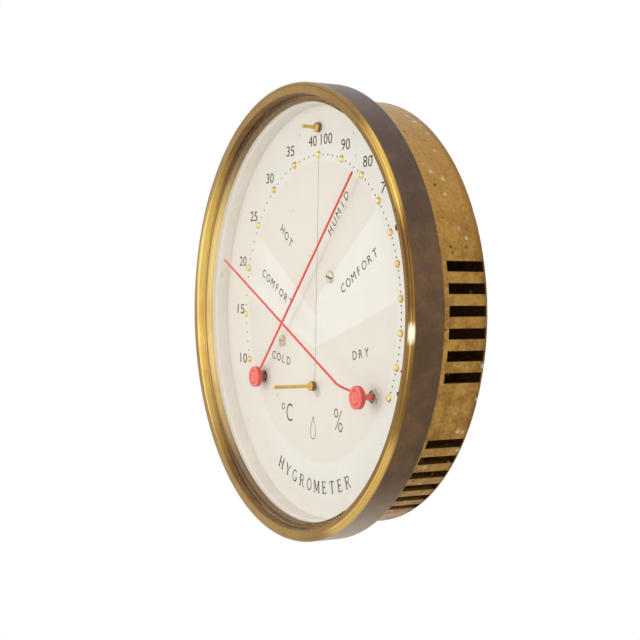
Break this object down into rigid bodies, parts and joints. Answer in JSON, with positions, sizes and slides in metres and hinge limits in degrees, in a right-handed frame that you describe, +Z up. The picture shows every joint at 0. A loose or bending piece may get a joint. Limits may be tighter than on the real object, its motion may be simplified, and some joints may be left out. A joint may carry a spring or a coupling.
{
  "type": "dial hygrometer",
  "caption": "Round brass-cased wall thermo-hygrometer: red pointers cross over a cream dial under domed glass, with a vented case behind.",
  "frame": {"origin": "centre of the flat back of the case, on the wall", "axes": "+X to the right seen from the front, +Y from the dial back into the wall, +Z up"},
  "size_m": [0.13, 0.0318, 0.13],
  "materials": {
    "case_brass": "satin, aged, mottled",
    "brass_sheet": "satin",
    "bezel_bronze": "satin, darkened, worn bright on its edges",
    "clear_glass": "clear, polished",
    "ring_white": "matt",
    "dial_enamel": "satin, printed",
    "brass_polished": "polished",
    "brass_fittings": "turned, satin",
    "steel_small": "turned",
    "pointer_red": "satin",
    "knob_red": "soft gloss",
    "hair_fibre": "matt bundle of hairs",
    "spring_steel": "blued",
    "bimetal_strip": "rolled, two-tone"
  },
  "bodies": {
    "instrument": {"case": "case_brass", "seat_ring": "brass_sheet", "bezel": "bezel_bronze", "glass": "clear_glass", "spacer_ring": "ring_white", "dial_plate": "dial_enamel", "scale_studs": "brass_polished", "dial_screws": "steel_small", "top_stop": "brass_polished", "bottom_stop": "brass_polished", "hair_frame": "brass_sheet", "frame_pillars": "brass_fittings", "hair_bridge": "brass_sheet", "bridge_screws": "steel_small", "hair_bundle": "hair_fibre", "hair_clip": "brass_fittings", "hair_adjuster": "brass_fittings", "adjuster_washer": "steel_small", "hairspring": "spring_steel", "hairspring_stud": "brass_fittings", "temperature_bush": "brass_fittings", "bush_nut": "steel_small", "coil_bracket": "brass_sheet", "bimetal_coil": "bimetal_strip", "coil_stud": "brass_fittings"},
    "humidity_movement": {"humidity_pointer": "pointer_red", "humidity_knob": "knob_red", "humidity_spindle": "steel_small", "hair_drum": "brass_fittings"},
    "temperature_movement": {"temperature_pointer": "pointer_red", "temperature_knob": "knob_red", "temperature_spindle": "steel_small", "coil_collet": "brass_fittings"}
  },
  "joints": [
    {"name": "humidity_turn", "type": "hinge", "parent": "instrument", "child": "humidity_movement", "pos_m": [-0.0322, -0.0161, -0.0214], "axis": [0, 1, 0], "range_deg": [-17, 45.7]},
    {"name": "temperature_turn", "type": "hinge", "parent": "instrument", "child": "temperature_movement", "pos_m": [0.0322, -0.0161, -0.0214], "axis": [0, 1, 0], "range_deg": [-23, 40]}
  ]
}
